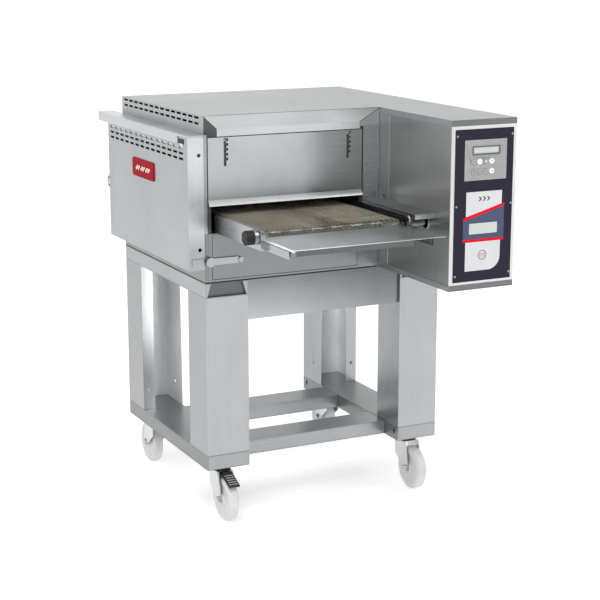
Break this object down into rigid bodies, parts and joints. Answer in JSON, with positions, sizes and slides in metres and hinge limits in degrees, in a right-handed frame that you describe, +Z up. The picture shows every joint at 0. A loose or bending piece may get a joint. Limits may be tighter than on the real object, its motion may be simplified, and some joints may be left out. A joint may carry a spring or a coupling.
{
  "type": "conveyor pizza oven",
  "caption": "Stainless steel conveyor pizza oven on a wheeled stand: belt through a tunnel, raising hatches, control box, casters with brakes.",
  "frame": {"origin": "on the floor below the middle of the whole model: midway between the outer side faces, and midway between the end of the shelf and the rear bearings of the conveyor", "axes": "+X to the control box on the right, +Y along the belt to the rear, +Z up"},
  "size_m": [0.779, 1.3049, 1.139],
  "materials": {
    "stainless_steel": "satin brushed",
    "stand_steel": "satin brushed",
    "conveyor_steel": "satin",
    "zinc_plate": "bright zinc",
    "white_nylon": "satin",
    "brake_pedal": "satin",
    "red_enamel": "gloss",
    "panel_foil": "satin foil",
    "keypad_grey": "matte",
    "display_window": "gloss",
    "key_grey": "gloss",
    "key_white": "gloss",
    "label_white": "satin foil",
    "field_blue": "satin foil",
    "stripe_red": "satin foil",
    "cream_enamel": "gloss",
    "electronics_plastic": "matte",
    "black_plastic": "matte",
    "motor_paint": "satin",
    "chain_steel": "oiled",
    "belt_mesh": "woven wire",
    "aluminised_steel": "dull",
    "heater_sheath": "oxidised",
    "mineral_wool": "fibrous",
    "screw_steel": "satin"
  },
  "bodies": {
    "oven": {"leg_front_left": "stand_steel", "leg_front_right": "stand_steel", "leg_rear_left": "stand_steel", "leg_rear_right": "stand_steel", "lower_frame": "stand_steel", "upper_frame": "stand_steel", "caster_plates": "zinc_plate", "body_casing": "stainless_steel", "chamber_liner": "aluminised_steel", "insulation": "mineral_wool", "front_fascia": "stainless_steel", "rear_fascia": "stainless_steel", "top_cover": "stainless_steel", "visor": "stainless_steel", "side_cover": "stainless_steel", "side_cover_lid": "stainless_steel", "badge": "red_enamel", "control_floor": "stainless_steel", "control_housing": "stainless_steel", "control_side_panel": "stainless_steel", "control_panel": "panel_foil", "keypad": "keypad_grey", "displays": "display_window", "electronics": "electronics_plastic", "gearmotor": "motor_paint", "drive_chain": "chain_steel", "conveyor_frame": "conveyor_steel", "drive_guard": "stainless_steel", "belt": "belt_mesh", "air_ducts": "aluminised_steel", "heaters": "heater_sheath", "fan_motor": "motor_paint", "fasteners": "screw_steel"},
    "caster_front_left": {"fork_front_left": "zinc_plate"},
    "wheel_front_left": {"wheel_front_left": "white_nylon"},
    "caster_front_right": {"fork_front_right": "zinc_plate"},
    "wheel_front_right": {"wheel_front_right": "white_nylon"},
    "caster_rear_left": {"fork_rear_left": "zinc_plate"},
    "wheel_rear_left": {"wheel_rear_left": "white_nylon"},
    "caster_rear_right": {"fork_rear_right": "zinc_plate"},
    "wheel_rear_right": {"wheel_rear_right": "white_nylon"},
    "brake_front_left": {"brake_front_left": "brake_pedal"},
    "brake_rear_right": {"brake_rear_right": "brake_pedal"},
    "front_hatch": {"front_hatch": "stainless_steel"},
    "rear_hatch": {"rear_hatch": "stainless_steel"},
    "exit_tray": {"exit_tray": "stainless_steel"},
    "panel_latch": {"panel_latch": "conveyor_steel"},
    "front_shaft": {"front_shaft": "conveyor_steel"},
    "rear_shaft": {"rear_shaft": "conveyor_steel"},
    "motor_sprocket": {"motor_sprocket": "chain_steel"},
    "circulation_fan": {"circulation_fan": "aluminised_steel"},
    "cooling_fan": {"cooling_fan": "black_plastic"},
    "key_1": {"key_1": "key_grey"},
    "key_2": {"key_2": "key_white"},
    "key_3": {"key_3": "key_grey"},
    "key_4": {"key_4": "key_white"},
    "key_5": {"key_5": "key_grey"},
    "key_6": {"key_6": "key_grey"},
    "key_7": {"key_7": "key_grey"},
    "key_8": {"key_8": "key_white"}
  },
  "joints": [
    {"name": "swivel_front_left", "type": "hinge", "parent": "oven", "child": "caster_front_left", "pos_m": [-0.2775, -0.1195, 0.148], "axis": [0, 0, 1], "continuous": true},
    {"name": "roll_front_left", "type": "hinge", "parent": "caster_front_left", "child": "wheel_front_left", "pos_m": [-0.2775, -0.1615, 0.0625], "axis": [1, 0, 0], "continuous": true},
    {"name": "swivel_front_right", "type": "hinge", "parent": "oven", "child": "caster_front_right", "pos_m": [0.3265, -0.1195, 0.148], "axis": [0, 0, 1], "continuous": true},
    {"name": "roll_front_right", "type": "hinge", "parent": "caster_front_right", "child": "wheel_front_right", "pos_m": [0.3265, -0.1615, 0.0625], "axis": [1, 0, 0], "continuous": true},
    {"name": "swivel_rear_left", "type": "hinge", "parent": "oven", "child": "caster_rear_left", "pos_m": [-0.2775, 0.3745, 0.148], "axis": [0, 0, 1], "continuous": true},
    {"name": "roll_rear_left", "type": "hinge", "parent": "caster_rear_left", "child": "wheel_rear_left", "pos_m": [-0.2775, 0.4165, 0.0625], "axis": [1, 0, 0], "continuous": true},
    {"name": "swivel_rear_right", "type": "hinge", "parent": "oven", "child": "caster_rear_right", "pos_m": [0.3265, 0.3745, 0.148], "axis": [0, 0, 1], "continuous": true},
    {"name": "roll_rear_right", "type": "hinge", "parent": "caster_rear_right", "child": "wheel_rear_right", "pos_m": [0.3265, 0.4165, 0.0625], "axis": [1, 0, 0], "continuous": true},
    {"name": "brake_pedal_front_left", "type": "hinge", "parent": "caster_front_left", "child": "brake_front_left", "pos_m": [-0.2775, -0.1535, 0.133], "axis": [1, 0, 0], "range_deg": [0, 8]},
    {"name": "brake_pedal_rear_right", "type": "hinge", "parent": "caster_rear_right", "child": "brake_rear_right", "pos_m": [0.3265, 0.4085, 0.133], "axis": [-1, 0, 0], "range_deg": [0, 8]},
    {"name": "front_hatch_slide", "type": "slide", "parent": "oven", "child": "front_hatch", "axis": [0, 0, 1], "range_m": [0, 0.052]},
    {"name": "rear_hatch_slide", "type": "slide", "parent": "oven", "child": "rear_hatch", "axis": [0, 0, 1], "range_m": [0, 0.052]},
    {"name": "exit_tray_slide", "type": "slide", "parent": "oven", "child": "exit_tray", "axis": [0, -1, 0], "range_m": [0, 0.06]},
    {"name": "panel_latch_turn", "type": "hinge", "parent": "oven", "child": "panel_latch", "pos_m": [-0.3285, -0.1825, 0.748], "axis": [0, 1, 0], "range_deg": [0, 90]},
    {"name": "front_shaft_turn", "type": "hinge", "parent": "oven", "child": "front_shaft", "pos_m": [-0.0945, -0.4405, 0.857], "axis": [1, 0, 0], "continuous": true},
    {"name": "rear_shaft_turn", "type": "hinge", "parent": "oven", "child": "rear_shaft", "pos_m": [-0.0945, 0.6325, 0.857], "axis": [1, 0, 0], "continuous": true},
    {"name": "motor_sprocket_turn", "type": "hinge", "parent": "oven", "child": "motor_sprocket", "pos_m": [0.2095, -0.2925, 0.857], "axis": [1, 0, 0], "continuous": true},
    {"name": "circulation_fan_spin", "type": "hinge", "parent": "oven", "child": "circulation_fan", "pos_m": [-0.0945, 0.1275, 0.981], "axis": [0, 0, 1], "continuous": true},
    {"name": "cooling_fan_spin", "type": "hinge", "parent": "oven", "child": "cooling_fan", "pos_m": [0.3095, 0.4225, 0.914], "axis": [0, 1, 0], "continuous": true},
    {"name": "key_1_press", "type": "slide", "parent": "oven", "child": "key_1", "axis": [0, 1, 0], "range_m": [0, 0.0015], "stiffness_N_per_m": 400},
    {"name": "key_2_press", "type": "slide", "parent": "oven", "child": "key_2", "axis": [0, 1, 0], "range_m": [0, 0.0015], "stiffness_N_per_m": 400},
    {"name": "key_3_press", "type": "slide", "parent": "oven", "child": "key_3", "axis": [0, 1, 0], "range_m": [0, 0.0015], "stiffness_N_per_m": 400},
    {"name": "key_4_press", "type": "slide", "parent": "oven", "child": "key_4", "axis": [0, 1, 0], "range_m": [0, 0.0015], "stiffness_N_per_m": 400},
    {"name": "key_5_press", "type": "slide", "parent": "oven", "child": "key_5", "axis": [0, 1, 0], "range_m": [0, 0.0015], "stiffness_N_per_m": 400},
    {"name": "key_6_press", "type": "slide", "parent": "oven", "child": "key_6", "axis": [0, 1, 0], "range_m": [0, 0.0015], "stiffness_N_per_m": 400},
    {"name": "key_7_press", "type": "slide", "parent": "oven", "child": "key_7", "axis": [0, 1, 0], "range_m": [0, 0.0015], "stiffness_N_per_m": 400},
    {"name": "key_8_press", "type": "slide", "parent": "oven", "child": "key_8", "axis": [0, 1, 0], "range_m": [0, 0.0015], "stiffness_N_per_m": 400}
  ],
  "couplings": [
    {"joint": "rear_shaft_turn", "follows": "front_shaft_turn", "ratio": 1},
    {"joint": "motor_sprocket_turn", "follows": "front_shaft_turn", "ratio": 1}
  ]
}
